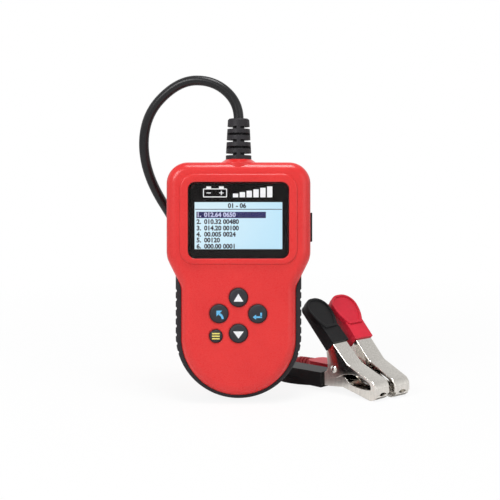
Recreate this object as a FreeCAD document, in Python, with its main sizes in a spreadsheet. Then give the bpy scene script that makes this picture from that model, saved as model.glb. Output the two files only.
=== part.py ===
import FreeCAD, Part
import math
import os
from types import SimpleNamespace

import Sketcher

Vector = FreeCAD.Vector
Rotation = FreeCAD.Rotation
Placement = FreeCAD.Placement

doc = FreeCAD.newDocument("battery_tester")

# Driving dimensions, in millimetres and degrees
DRIVING = (
    ("lean_angle", 10.0, "how far the tester leans back"),
    ("stand_back", -18.4, "tester's place in depth, which centres it"),
    ("head_half_width", 57.2, "half the width of the display end"),
    ("grip_half_width", 45.6, "half the width of the keypad end"),
    ("body_top", 187.4, "height of the housing along its face"),
    ("base_centre", 48.1, "height of the round lower end's centre"),
    ("head_corner_radius", 17.0, "upper corners"),
    ("neck_start", 85.0, "where the waist begins to widen"),
    ("neck_low_radius", 15.0, "hollow curve of the waist"),
    ("neck_high_radius", 20.0, "round curve of the waist"),
    ("neck_angle", 26.6, "slope of the waist"),
    ("front_depth", 16.0, "front half, from the parting plane"),
    ("rear_depth", 20.0, "rear half, from the parting plane"),
    ("edge_round", 8.0, "rounding of the outer edges"),
    ("wall", 2.5, "wall of the housing"),
    ("inner_round", 5.5, "rounding inside the housing"),
    ("frame_width", 93.2, "raised frame round the display"),
    ("frame_height", 71.6, "raised frame round the display"),
    ("frame_centre", 142.0, "height of the frame's centre"),
    ("frame_corner", 12.0, "corner of the frame"),
    ("frame_rise", 1.5, "how far the frame stands up"),
    ("frame_lip", 0.7, "rounded edge of the frame at the window"),
    ("lens_width", 79.8, "display window"),
    ("lens_height", 60.4, "display window"),
    ("lens_centre", 141.1, "height of the window's centre"),
    ("lens_corner", 6.0, "corner of the window"),
    ("lens_thickness", 1.5, "window sheet"),
    ("lens_floor", 14.9, "ledge that the window lies on"),
    ("mask_thickness", 0.3, "black border behind the window"),
    ("fit", 0.2, "clearance of a piece dropped in"),
    ("view_width", 69.4, "visible display"),
    ("view_height", 37.2, "visible display"),
    ("view_centre", 136.9, "height of the display's centre"),
    ("key_radius", 7.3, "large keys"),
    ("small_key_radius", 5.1, "function key"),
    ("key_rim", 1.3, "retaining rim of a key"),
    ("key_gap", 0.35, "gap round a key"),
    ("key_top", 17.5, "top of a key"),
    ("key_travel", 0.8, "travel of a key"),
    ("board_back", 4.0, "rear face of the circuit board"),
    ("board_thickness", 1.6, "circuit board"),
    ("boss_radius", 3.6, "screw bosses"),
    ("post_radius", 3.0, "board posts"),
    ("collar_base_radius", 15.0, "cable collar"),
    ("collar_shoulder", 187.0, "where the collar begins to narrow"),
    ("collar_top_radius", 10.6, "cable collar"),
    ("collar_low", 181.0, "lower face of the collar"),
    ("collar_top", 190.0, "upper face of the collar"),
    ("relief_neck_radius", 7.6, "strain relief inside the collar"),
    ("relief_base_radius", 10.25, "strain relief at the collar"),
    ("relief_tip_radius", 8.4, "strain relief at the cable"),
    ("relief_top", 222.7, "upper end of the strain relief"),
    ("relief_slot", 1.9, "slots of the strain relief"),
    ("relief_core", 4.7, "core left by the slots"),
    ("relief_web", 1.5, "half the web left by the slots"),
    ("relief_pitch", 10.6, "distance between slots of one kind"),
    ("bumper_half_width", 50.0, "rubber bumper outside"),
    ("bumper_top", 99.5, "upper end of the bumper"),
    ("bumper_front", 9.5, "front edge of the bumper"),
    ("bumper_rear", 13.0, "rear edge of the bumper"),
    ("bumper_round", 2.4, "rounded edges of the bumper"),
    ("rib_pitch", 7.0, "distance between grip grooves"),
    ("rib_groove", 1.5, "radius of a grip groove"),
    ("port_height", 135.5, "height of the data port's centre"),
    ("cover_length", 24.0, "port cover"),
    ("cover_width", 9.4, "port cover"),
    ("cover_thickness", 1.4, "port cover"),
    ("cable_radius", 4.0, "main cable"),
    ("lead_radius", 2.8, "clamp leads"),
    ("wire_radius", 1.1, "wires inside"),
    ("jaw_width", 16.6, "upper jaw of a clamp"),
    ("lower_jaw_width", 13.8, "lower jaw, inside the upper one"),
    ("sheet", 1.2, "sheet metal of the jaws"),
    ("jaw_edge", 0.9, "rounded upper edges of a jaw"),
    ("jaw_bend", 10.0, "bend between an upper jaw's arm and its nose"),
    ("nose_round", 7.5, "rounding of an upper jaw's nose"),
    ("pivot_height", 19.5, "pivot of a clamp above the floor"),
    ("pivot_radius", 2.0, "rivet"),
    ("pivot_hole_radius", 2.05, "holes for the rivet"),
    ("handle_width", 18.6, "handles"),
    ("pad_width", 25.4, "thumb pads"),
    ("pad_neck", 13.6, "thumb pads at their narrow end"),
    ("pad_rise", 1.2, "how far a thumb pad stands up"),
    ("upper_slope", 42.4, "upper handle above level"),
    ("lower_slope", 1.0, "lower handle above level"),
    ("boot_length", 17.0, "sleeve where a lead enters a clamp"),
    ("spring_wire", 1.2, "wire of a clamp's spring"),
    ("spring_radius", 5.0, "mean radius of a clamp's spring"),
    ("spring_pitch", 1.7, "distance between its turns"),
    ("spring_leg", 20.0, "straight leg at each of its ends"),
)


def number(size):
    return size.value if isinstance(size, Size) else float(size)


def formula(size):
    return size.formula if isinstance(size, Size) else f"({float(size)!r})"


class Size:
    """A length that keeps its value and the sheet formula behind it."""

    def __init__(self, value, text):
        self.value = value
        self.formula = text

    def __add__(self, other):
        return Size(self.value + number(other), f"({self.formula} + {formula(other)})")

    def __radd__(self, other):
        return self + other

    def __sub__(self, other):
        return Size(self.value - number(other), f"({self.formula} - {formula(other)})")

    def __rsub__(self, other):
        return Size(number(other) - self.value, f"({formula(other)} - {self.formula})")

    def __mul__(self, other):
        return Size(self.value * number(other), f"({self.formula} * {formula(other)})")

    def __rmul__(self, other):
        return self * other

    def __truediv__(self, other):
        return Size(self.value / number(other), f"({self.formula} / {formula(other)})")

    def __neg__(self):
        return self * -1


sheet = doc.addObject("Spreadsheet::Sheet", "dims")
for row, (alias, value, note) in enumerate(DRIVING, 1):
    sheet.set(f"A{row}", note)
    sheet.set(f"B{row}", str(value))
    sheet.setAlias(f"B{row}", alias)
doc.recompute()
dims = SimpleNamespace(**{alias: Size(sheet.get(alias), "dims." + alias) for alias, _, _ in DRIVING})

pieces = []


def bind(thing, prop, size):
    thing.setExpression(prop, formula(size))


# Sketches and features

def new_body(label, pose):
    body = doc.addObject("PartDesign::Body", label)
    body.Label = label
    body.Placement = pose
    pieces.append(body)
    return body


def new_sketch(body, name, role="XY_Plane", lift=0):
    sketch = body.newObject("Sketcher::SketchObject", name)
    plane = next(part for part in body.Origin.OriginFeatures if part.Role == role)
    sketch.AttachmentSupport = [(plane, "")]
    sketch.MapMode = "FlatFace"
    bind(sketch, "AttachmentOffset.Base.z", lift)
    return sketch


def arc_between(start, end, radius, turn):
    """Arc of less than half a turn and the sketch positions of its two ends."""
    side = 1 if turn == "left" else -1
    chord = end - start
    across = Vector(-chord.y, chord.x, 0).normalize()
    reach = math.sqrt(max(radius ** 2 - chord.Length ** 2 / 4, 0))
    centre = (start + end) / 2 + across * side * reach
    first, last = (start, end) if side > 0 else (end, start)
    angles = [math.atan2(point.y - centre.y, point.x - centre.x) for point in (first, last)]
    if angles[1] <= angles[0]:
        angles[1] += 2 * math.pi
    circle = Part.Circle(centre, Vector(0, 0, 1), radius)
    return Part.ArcOfCircle(circle, *angles), ((1, 2) if side > 0 else (2, 1))


def outline(sketch, corners):
    """Closed outline; a corner is x, y and, for an arc to the next one, its radius and turn."""
    base = sketch.GeometryCount
    count = len(corners)
    ends = []
    for index, corner in enumerate(corners):
        start = Vector(number(corner[0]), number(corner[1]), 0)
        after = corners[(index + 1) % count]
        end = Vector(number(after[0]), number(after[1]), 0)
        if len(corner) == 2:
            sketch.addGeometry(Part.LineSegment(start, end))
            ends.append((1, 2))
        else:
            arc, places = arc_between(start, end, number(corner[2]), corner[3])
            sketch.addGeometry(arc)
            ends.append(places)
    rules = []
    bound = []
    for index, corner in enumerate(corners):
        here = base + index
        after = (index + 1) % count
        rules.append(Sketcher.Constraint("Coincident", here, ends[index][1], base + after, ends[after][0]))
        for kind, size in (("DistanceX", corner[0]), ("DistanceY", corner[1])):
            bound.append((len(rules), size))
            rules.append(Sketcher.Constraint(kind, -1, 1, here, ends[index][0], number(size)))
        if len(corner) > 2:
            bound.append((len(rules), corner[2]))
            rules.append(Sketcher.Constraint("Radius", here, number(corner[2])))
    offset = sketch.ConstraintCount
    sketch.addConstraint(rules)
    for index, size in bound:
        bind(sketch, f"Constraints[{offset + index}]", size)
    return sketch


def circles(sketch, places, radius):
    for x, y in places:
        centre = Vector(number(x), number(y), 0)
        here = sketch.addGeometry(Part.Circle(centre, Vector(0, 0, 1), number(radius)))
        for kind, size in (("DistanceX", x), ("DistanceY", y)):
            rule = sketch.addConstraint(Sketcher.Constraint(kind, -1, 1, here, 3, number(size)))
            bind(sketch, f"Constraints[{rule}]", size)
        rule = sketch.addConstraint(Sketcher.Constraint("Radius", here, number(radius)))
        bind(sketch, f"Constraints[{rule}]", radius)
    return sketch


def rounded_box(sketch, centre_x, centre_y, width, height, radius):
    left, right = centre_x - width / 2, centre_x + width / 2
    low, high = centre_y - height / 2, centre_y + height / 2
    return outline(sketch, [
        (left + radius, low), (right - radius, low, radius, "left"),
        (right, low + radius), (right, high - radius, radius, "left"),
        (right - radius, high), (left + radius, high, radius, "left"),
        (left, high - radius), (left, low + radius, radius, "left"),
    ])


def plain_box(sketch, left, low, right, high):
    return outline(sketch, [(left, low), (right, low), (right, high), (left, high)])


def extrude(body, kind, sketch, length, reverse=False, symmetric=False):
    feature = body.newObject("PartDesign::" + kind, sketch.Name + "_" + kind.lower())
    feature.Profile = sketch
    bind(feature, "Length", length)
    if symmetric:
        feature.SideType = "Symmetric"
    feature.Reversed = reverse
    return feature


def pad(body, sketch, length, reverse=False, symmetric=False):
    return extrude(body, "Pad", sketch, length, reverse, symmetric)


def pocket(body, sketch, length, reverse=False, symmetric=False):
    return extrude(body, "Pocket", sketch, length, reverse, symmetric)


def revolve(body, kind, sketch, axis="V_Axis", angle=360, reverse=False):
    feature = body.newObject("PartDesign::" + kind, sketch.Name + "_" + kind.lower())
    feature.Profile = sketch
    feature.ReferenceAxis = (sketch, [axis])
    feature.Angle = angle
    feature.Reversed = reverse
    return feature


def repeat(body, feature, role, length, count):
    pattern = body.newObject("PartDesign::LinearPattern", feature.Name + "_row")
    pattern.Originals = [feature]
    axis = next(part for part in body.Origin.OriginFeatures if part.Role == role)
    pattern.Direction = (axis, [""])
    bind(pattern, "Length", length)
    pattern.Occurrences = count
    body.Tip = pattern
    return pattern


def round_edges(body, name, radius, wanted):
    doc.recompute()
    base = body.Tip
    names = [f"Edge{index}" for index, edge in enumerate(base.Shape.Edges, 1) if wanted(edge)]
    feature = body.newObject("PartDesign::Fillet", name)
    feature.Base = (base, names)
    bind(feature, "Radius", radius)
    doc.recompute()
    return feature


def at_level(axis, level, slack=0.01):
    """Test for edges lying wholly in the plane where an axis has a given value."""
    def wanted(edge):
        box = edge.BoundBox
        low, high = getattr(box, axis + "Min"), getattr(box, axis + "Max")
        return abs(low - level) < slack and abs(high - level) < slack
    return wanted


# Separate solids that share one label

def box_at(name, size, corner):
    solid = doc.addObject("Part::Box", name)
    for prop, length in zip(("Length", "Width", "Height"), size):
        bind(solid, prop, length)
    for axis, place in zip("xyz", corner):
        bind(solid, "Placement.Base." + axis, place)
    return solid


def rod_at(name, radius, length, foot):
    solid = doc.addObject("Part::Cylinder", name)
    bind(solid, "Radius", radius)
    bind(solid, "Height", length)
    for axis, place in zip("xyz", foot):
        bind(solid, "Placement.Base." + axis, place)
    return solid


def joined(name, solids):
    whole = doc.addObject("Part::MultiFuse", name)
    whole.Shapes = solids
    return whole


def cut_away(name, base, tool):
    rest = doc.addObject("Part::Cut", name)
    rest.Base = base
    rest.Tool = tool
    return rest


def group(label, solids, pose):
    whole = doc.addObject("Part::Compound", label)
    whole.Label = label
    whole.Links = solids
    whole.Placement = pose
    pieces.append(whole)
    return whole


def freeform(label, shape, pose=None):
    piece = doc.addObject("Part::Feature", label)
    piece.Label = label
    piece.Shape = shape
    if pose is not None:
        piece.Placement = pose
    pieces.append(piece)
    return piece


# Where the tester stands: x across its face, y up the face, z out of the face
lean = math.radians(dims.lean_angle.value)
lowest = dims.bumper_round.value * (1 - math.cos(lean))
lowest += (dims.bumper_rear.value - dims.bumper_round.value) * math.sin(lean)
TESTER = Placement(
    Vector(0, dims.stand_back.value, lowest), Rotation(Vector(1, 0, 0), 90 - dims.lean_angle.value)
)

# Housing
neck = math.radians(dims.neck_angle.value)
SCREWS = ((46, 168), (-46, 168), (29, 27), (-29, 27))
POSTS = ((45, 156), (-45, 156), (33, 42), (-33, 42))
KEYS = (
    ("up_key", 0, 80.1, dims.key_radius),
    ("back_key", -15.35, 67.3, dims.key_radius),
    ("enter_key", 15.2, 67.2, dims.key_radius),
    ("down_key", 0, 51.7, dims.key_radius),
    ("function_key", -17.8, 49.6, dims.small_key_radius),
)


def housing_outline(inset):
    low = dims.grip_half_width - inset
    high = dims.head_half_width - inset
    top = dims.body_top - inset
    corner = dims.head_corner_radius - inset
    hollow = dims.neck_low_radius + inset
    bulge = dims.neck_high_radius - inset
    run = dims.head_half_width - dims.grip_half_width
    run = run - (dims.neck_low_radius + dims.neck_high_radius) * (1 - math.cos(neck))
    neck_end = dims.neck_start + run / math.tan(neck)
    neck_end = neck_end + (dims.neck_low_radius + dims.neck_high_radius) * math.sin(neck)
    low_x = dims.grip_half_width + dims.neck_low_radius - hollow * math.cos(neck)
    low_y = dims.neck_start + hollow * math.sin(neck)
    high_x = dims.head_half_width - dims.neck_high_radius + bulge * math.cos(neck)
    high_y = neck_end - bulge * math.sin(neck)
    return [
        (0, dims.base_centre - low, low, "left"),
        (low, dims.base_centre),
        (low, dims.neck_start, hollow, "right"),
        (low_x, low_y),
        (high_x, high_y, bulge, "left"),
        (high, neck_end),
        (high, top - corner, corner, "left"),
        (high - corner, top),
        (corner - high, top, corner, "left"),
        (-high, top - corner),
        (-high, neck_end, bulge, "left"),
        (-high_x, high_y),
        (-low_x, low_y, hollow, "right"),
        (-low, dims.neck_start),
        (-low, dims.base_centre, low, "left"),
    ]


def housing_half(label, depth, front):
    """One half of the housing: a filled outline, rounded, hollowed and given its collar."""
    body = new_body(label, TESTER)
    side = 1 if front else -1
    pad(body, outline(new_sketch(body, label + "_plan"), housing_outline(0)), depth, reverse=not front)
    round_edges(body, label + "_edge", dims.edge_round, at_level("Z", side * depth.value))
    hollow = outline(new_sketch(body, label + "_hollow"), housing_outline(dims.wall))
    pocket(body, hollow, depth - dims.wall, reverse=front)
    inner = side * (depth.value - dims.wall.value)
    round_edges(body, label + "_inner_edge", dims.inner_round, at_level("Z", inner))
    collar = outline(new_sketch(body, label + "_collar"), [
        (0, dims.collar_low), (dims.collar_base_radius, dims.collar_low),
        (dims.collar_base_radius, dims.collar_shoulder),
        (dims.collar_top_radius, dims.collar_top), (0, dims.collar_top),
    ])
    revolve(body, "Revolution", collar, angle=180, reverse=front)
    bore = plain_box(new_sketch(body, label + "_bore"), 0, dims.collar_low - 5,
                     dims.relief_neck_radius + dims.fit / 2, dims.collar_top + 2)
    revolve(body, "Groove", bore)
    return body


front = housing_half("front_shell", dims.front_depth, True)
roof = dims.front_depth - dims.wall
frame = rounded_box(new_sketch(front, "frame", lift=roof + 0.5), 0, dims.frame_centre,
                    dims.frame_width, dims.frame_height, dims.frame_corner)
frame_top = dims.front_depth + dims.frame_rise
pad(front, frame, dims.frame_rise + dims.wall - 0.5)
round_edges(front, "frame_edge", dims.frame_rise * 0.9, at_level("Z", frame_top.value))
seat = rounded_box(new_sketch(front, "lens_seat", lift=frame_top), 0, dims.lens_centre,
                   dims.lens_width + dims.fit, dims.lens_height + dims.fit, dims.lens_corner)
pocket(front, seat, frame_top - dims.lens_floor)
seat_reach = number(dims.lens_width + dims.fit) / 2 + 0.05
at_frame_top = at_level("Z", frame_top.value)
round_edges(front, "window_lip", dims.frame_lip,
            lambda edge: at_frame_top(edge) and max(edge.BoundBox.XMax, -edge.BoundBox.XMin) < seat_reach
            and abs(edge.BoundBox.Center.y - dims.lens_centre.value) < dims.lens_height.value / 2 + 0.2)
opening = rounded_box(new_sketch(front, "view_opening", lift=dims.lens_floor), 0, dims.view_centre,
                      dims.view_width + 4, dims.view_height + 4, 1.3)
pocket(front, opening, dims.wall)
bosses = circles(new_sketch(front, "front_bosses"), SCREWS, dims.boss_radius)
pad(front, bosses, roof + 0.2)
pilot = circles(new_sketch(front, "front_pilots"), SCREWS, 1.55)
pocket(front, pilot, dims.front_depth * 0.6, reverse=True)
post_foot = dims.board_back + dims.board_thickness
posts = circles(new_sketch(front, "front_posts", lift=post_foot), POSTS, dims.post_radius)
pad(front, posts, roof + 0.2 - post_foot)
post_pilot = circles(new_sketch(front, "post_pilots", lift=post_foot), POSTS, 1.2)
pocket(front, post_pilot, 5, reverse=True)
large = [(x, y) for _, x, y, radius in KEYS if radius is dims.key_radius]
small = [(x, y) for _, x, y, radius in KEYS if radius is not dims.key_radius]
for name, places, radius in (("large", large, dims.key_radius), ("small", small, dims.small_key_radius)):
    ring = circles(new_sketch(front, name + "_rings", lift=dims.front_depth), places, radius + 1.1)
    pocket(front, ring, 0.5)
    hole = circles(new_sketch(front, name + "_holes", lift=dims.front_depth), places, radius + dims.key_gap)
    pocket(front, hole, dims.wall + 1)
port = plain_box(new_sketch(front, "port_notch"), 50, dims.port_height - 6, 60, dims.port_height + 6)
pocket(front, port, 5.2, reverse=True)

rear = housing_half("rear_shell", dims.rear_depth, False)
sleeve_floor = dims.wall - dims.rear_depth - 0.2
sleeves = circles(new_sketch(rear, "rear_sleeves", lift=sleeve_floor), SCREWS, dims.boss_radius + 0.8)
pad(rear, sleeves, -sleeve_floor)
sink = circles(new_sketch(rear, "screw_sinks", lift=-dims.rear_depth), SCREWS, 3.2)
pocket(rear, sink, dims.rear_depth * 0.6, reverse=True)
through = circles(new_sketch(rear, "screw_holes", lift=-dims.rear_depth), SCREWS, 1.7)
pocket(rear, through, dims.rear_depth + 1, reverse=True)

# Rubber bumper with its grip grooves
bumper = new_body("grip_bumper", TESTER)
band = dims.bumper_half_width
plan = outline(new_sketch(bumper, "bumper_plan", lift=-dims.bumper_rear), [
    (0, 0, band, "left"), (band, band), (band, dims.bumper_top),
    (-band, dims.bumper_top), (-band, band, band, "left"),
])
pad(bumper, plan, dims.bumper_front + dims.bumper_rear)
rim = [at_level("Z", dims.bumper_front.value), at_level("Z", -dims.bumper_rear.value)]
round_edges(bumper, "bumper_edge", dims.bumper_round,
            lambda edge: any(test(edge) for test in rim) and edge.BoundBox.YMin < dims.bumper_top.value - 1)
inside = outline(new_sketch(bumper, "bumper_inside"), housing_outline(-0.05))
pocket(bumper, inside, 60, symmetric=True)
groove_low = 36.3
for side in (1, -1):
    word = "right" if side > 0 else "left"
    spots = [(side * (band - 1.2), groove_low), (side * (band + 0.1), groove_low + dims.rib_pitch)]
    spots += [(side * (band + 0.6), groove_low + dims.rib_pitch * step) for step in range(2, 8)]
    grooves = circles(new_sketch(bumper, word + "_grooves"), spots, dims.rib_groove)
    pocket(bumper, grooves, 60, symmetric=True)

# Display
lens = new_body("display_lens", TESTER)
lens_foot = dims.lens_floor + dims.mask_thickness
pad(lens, rounded_box(new_sketch(lens, "lens_plan", lift=lens_foot), 0, dims.lens_centre,
                      dims.lens_width, dims.lens_height, dims.lens_corner), dims.lens_thickness)
mask = new_body("lens_mask", TESTER)
pad(mask, rounded_box(new_sketch(mask, "mask_plan", lift=dims.lens_floor), 0, dims.lens_centre,
                      dims.lens_width, dims.lens_height, dims.lens_corner), dims.mask_thickness)
view = plain_box(new_sketch(mask, "mask_view", lift=dims.lens_floor), dims.view_width / -2,
                 dims.view_centre - dims.view_height / 2, dims.view_width / 2,
                 dims.view_centre + dims.view_height / 2)
pocket(mask, view, 2, symmetric=True)
glass_foot = roof - 2.4
glass_size = (dims.view_width + 6.6, dims.view_height + 10.8)
glass_corner = (glass_size[0] / -2, dims.view_centre - glass_size[1] / 2, glass_foot)
group("lcd_glass", [box_at("glass_sheet", (*glass_size, 2), glass_corner)], TESTER)
tray_size = (glass_size[0] + 4, glass_size[1] + 6)
tray_corner = (tray_size[0] / -2, dims.view_centre - tray_size[1] / 2, post_foot)
group("lcd_backlight", [box_at("light_tray", (*tray_size, glass_foot - post_foot), tray_corner)], TESTER)

# Circuit board and what it carries
board = new_body("main_board", TESTER)
board_plan = outline(new_sketch(board, "board_plan", lift=dims.board_back), [
    (-38, 35), (38, 35), (38, 106), (50, 106), (50, 161), (-50, 161), (-50, 106), (-38, 106),
])
pad(board, board_plan, dims.board_thickness)
board_holes = circles(new_sketch(board, "board_holes", lift=dims.board_back), POSTS, 1.3)
pocket(board, board_holes, 10, symmetric=True)
CHIPS = (
    (-7, 88, 14, 14, 1.4), (14, 76, 8, 6, 1.6), (-26, 74, 9, 8, 2.2),
    (-30, 112, 13, 24, 6), (17, 112, 13, 24, 6),
)
group("board_chips", [
    box_at(f"chip_{index}", (wide, tall, thick), (x, y, dims.board_back - thick))
    for index, (x, y, wide, tall, thick) in enumerate(CHIPS)
], TESTER)
switches = []
for name, x, y, _ in KEYS:
    switches.append(joined(name + "_switch", [
        box_at(name + "_switch_body", (6, 6, 3.6), (x - 3, y - 3, post_foot)),
        rod_at(name + "_switch_stem", 1.75, 4.4, (x, y, post_foot)),
    ]))
group("key_switches", switches, TESTER)
group("terminal_block", [box_at("terminals", (28, 9, 8), (-14, 146, dims.board_back - 8))], TESTER)
socket_box = box_at("socket_box", (9.2, 7.8, 3.9), (44.5, dims.port_height - 3.9, dims.board_back - 3.9))
socket_mouth = box_at("socket_mouth", (8, 6.8, 2.9), (46.5, dims.port_height - 3.4, dims.board_back - 3.4))
group("usb_socket", [cut_away("socket_body", socket_box, socket_mouth)], TESTER)


def screw(name, x, y, foot, head_radius, head_height, radius, length):
    head = rod_at(name + "_head", head_radius, head_height, (x, y, foot))
    shank = rod_at(name + "_shank", radius, head_height + length, (x, y, foot))
    return joined(name, [head, shank])


case_foot = dims.rear_depth * -0.4 - 2.4
group("case_screws", [screw(f"case_screw_{index}", x, y, case_foot, 2.75, 2.4, 1.5, 16)
                      for index, (x, y) in enumerate(SCREWS)], TESTER)
group("board_screws", [screw(f"board_screw_{index}", x, y, dims.board_back - 1.4, 2.2, 1.4, 1.15, 6)
                       for index, (x, y) in enumerate(POSTS)], TESTER)

# Keys
for name, x, y, radius in KEYS:
    key = new_body(name, TESTER.multiply(Placement(Vector(x, y, 0), Rotation())))
    rim_low = roof - 1.7
    rim_high = roof - 0.3
    crown = dims.key_top - 1.3
    half = outline(new_sketch(key, name + "_half", "XZ_Plane"), [
        (0, rim_low - dims.key_travel), (2, rim_low - dims.key_travel), (2, rim_low),
        (radius + dims.key_rim, rim_low), (radius + dims.key_rim, rim_high), (radius, rim_high),
        (radius, crown, 1.6 * dims.key_rim, "left"), (radius - 1.3, dims.key_top - 0.25), (0, dims.key_top),
    ])
    revolve(key, "Revolution", half)

# Port cover, hinged at its upper end
cover_base = dims.head_half_width + 0.1
hinge_up = dims.port_height + dims.cover_length / 2 - dims.cover_thickness / 2
HINGE = Vector(number(cover_base + dims.cover_thickness / 2), hinge_up.value, 1.9)
cover = new_body("port_cover", TESTER.multiply(Placement(HINGE, Rotation())))
half_thick = dims.cover_thickness / 2
flap_end = dims.cover_thickness - dims.cover_length
flap = outline(new_sketch(cover, "flap_side", lift=dims.cover_width / -2), [
    (-half_thick, 0), (-half_thick, flap_end), (0.2, flap_end), (half_thick, flap_end + 0.6),
    (half_thick, 0, half_thick, "left"), (0, half_thick, half_thick, "left"),
])
pad(cover, flap, dims.cover_width)
plug = plain_box(new_sketch(cover, "plug_side", lift=-1.6), -half_thick - 2, -16.6, 0, -6.4)
pad(cover, plug, 4.2)

# Strain relief
relief = new_body("strain_relief", TESTER)
relief_half = outline(new_sketch(relief, "relief_half"), [
    (0, dims.collar_low - 3.5), (dims.relief_neck_radius + 2.4, dims.collar_low - 3.5),
    (dims.relief_neck_radius + 2.4, dims.collar_low), (dims.relief_neck_radius, dims.collar_low),
    (dims.relief_neck_radius, dims.collar_top), (dims.relief_base_radius, dims.collar_top),
    (dims.relief_base_radius, dims.collar_top + 3),
    (dims.relief_tip_radius + 0.2, dims.relief_top - 1), (dims.relief_tip_radius - 0.8, dims.relief_top),
    (0, dims.relief_top),
])
revolve(relief, "Revolution", relief_half)
core_reach = math.sqrt(dims.relief_core.value ** 2 - dims.relief_web.value ** 2)


def slot_corners(side, sideways):
    """One side of a slot in the strain relief, which leaves a round core and a web."""
    web = dims.relief_web
    path = [(web, core_reach), (web, 14), (14, 14), (14, -14), (web, -14)]
    path = [(side * x, y) for x, y in path]
    arc_start = (side * web, -core_reach)
    if sideways:
        path = [(y, x) for x, y in path]
        arc_start = (arc_start[1], arc_start[0])
    turn = "left" if (side > 0) != sideways else "right"
    return path + [(*arc_start, dims.relief_core, turn)]


for name, level, sideways, count in (("side", 194.2, False, 3), ("face", 199.5, True, 2)):
    slots = new_sketch(relief, name + "_slots", "XZ_Plane", lift=-level)
    for side in (1, -1):
        outline(slots, slot_corners(side, sideways))
    cut = pocket(relief, slots, dims.relief_slot, symmetric=True)
    repeat(relief, cut, "Y_Axis", dims.relief_pitch * (count - 1), count)


# Cords: straight runs joined by tangent arcs

def cord_wire(points):
    corners = [Vector(*point) for point in points]
    edges = []
    radii = []
    here = corners[0]
    last = len(corners) - 2
    for index in range(1, len(corners) - 1):
        before, corner, after = corners[index - 1:index + 2]
        back, ahead = before - corner, after - corner
        room_back = back.Length * (0.9 if index == 1 else 0.45)
        room_ahead = ahead.Length * (0.9 if index == last else 0.45)
        room = min(room_back, room_ahead)
        half_turn = (math.pi - back.getAngle(ahead)) / 2
        radius = room / math.tan(half_turn)
        back.normalize()
        ahead.normalize()
        start, end = corner + back * room, corner + ahead * room
        middle = corner + (back + ahead).normalize() * radius * (1 / math.cos(half_turn) - 1)
        edges.append(Part.LineSegment(here, start).toShape())
        edges.append(Part.Arc(start, middle, end).toShape())
        radii.append(radius)
        here = end
    edges.append(Part.LineSegment(here, corners[-1]).toShape())
    return Part.Wire(edges), radii


def cord_solid(label, points, radius):
    wire, radii = cord_wire(points)
    run = Vector(*points[1]) - Vector(*points[0])
    section = Part.Wire(Part.makeCircle(radius, Vector(*points[0]), run))
    solid = wire.makePipeShell([section], True, False)
    ratio = solid.Volume / (math.pi * radius ** 2 * wire.Length)
    print(f"{label}: length {wire.Length:.1f}, tightest bend {min(radii):.1f}, volume ratio {ratio:.4f}")
    return solid


def on_tester(x, y, z):
    return tuple(TESTER.multVec(Vector(x, y, z)))


# Clamps: x towards the nose, y along the pivot, z up, from the pivot
CLAMPS = {
    "black": Placement(Vector(82.8, 9.6, dims.pivot_height.value), Rotation(Vector(0, 0, 1), -45)),
    "red": Placement(Vector(102.9, 23.6, dims.pivot_height.value), Rotation(Vector(0, 0, 1), -51)),
}
UPPER_BEND = (15.8, 6.0)
UPPER_NOSE = (45.2, -5.0)
NOSE_FOOT = (45.6, -14.1)
up_cos = math.cos(math.radians(dims.upper_slope.value))
up_sin = math.sin(math.radians(dims.upper_slope.value))
low_tan = math.tan(math.radians(dims.lower_slope.value))


def along_handle(distance, depth=0.0):
    """Point on the upper arm, a distance up the handle from the bend and a depth below its back."""
    x = UPPER_BEND[0] - distance * up_cos - depth * up_sin
    return (x, UPPER_BEND[1] + distance * up_sin - depth * up_cos)


def bend_in(before, corner, after, radius, turn):
    """Corner of an outline made an arc that touches both of its lines."""
    head, place, tail = (Vector(*point, 0) for point in (before, corner, after))
    inward, onward = (head - place).normalize(), (tail - place).normalize()
    cut = radius.value / math.tan(inward.getAngle(onward) / 2)
    start, end = place + inward * cut, place + onward * cut
    return [(start.x, start.y, radius, turn), (end.x, end.y)]


def nose_slit(body, name):
    """Slit between the two noses, pointed at both ends."""
    slit = new_sketch(body, name + "_slit", "YZ_Plane", lift=40)
    return outline(slit, [(-4.2, -14.2, 6.6, "left"), (4.2, -14.2, 6.6, "left")])


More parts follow.
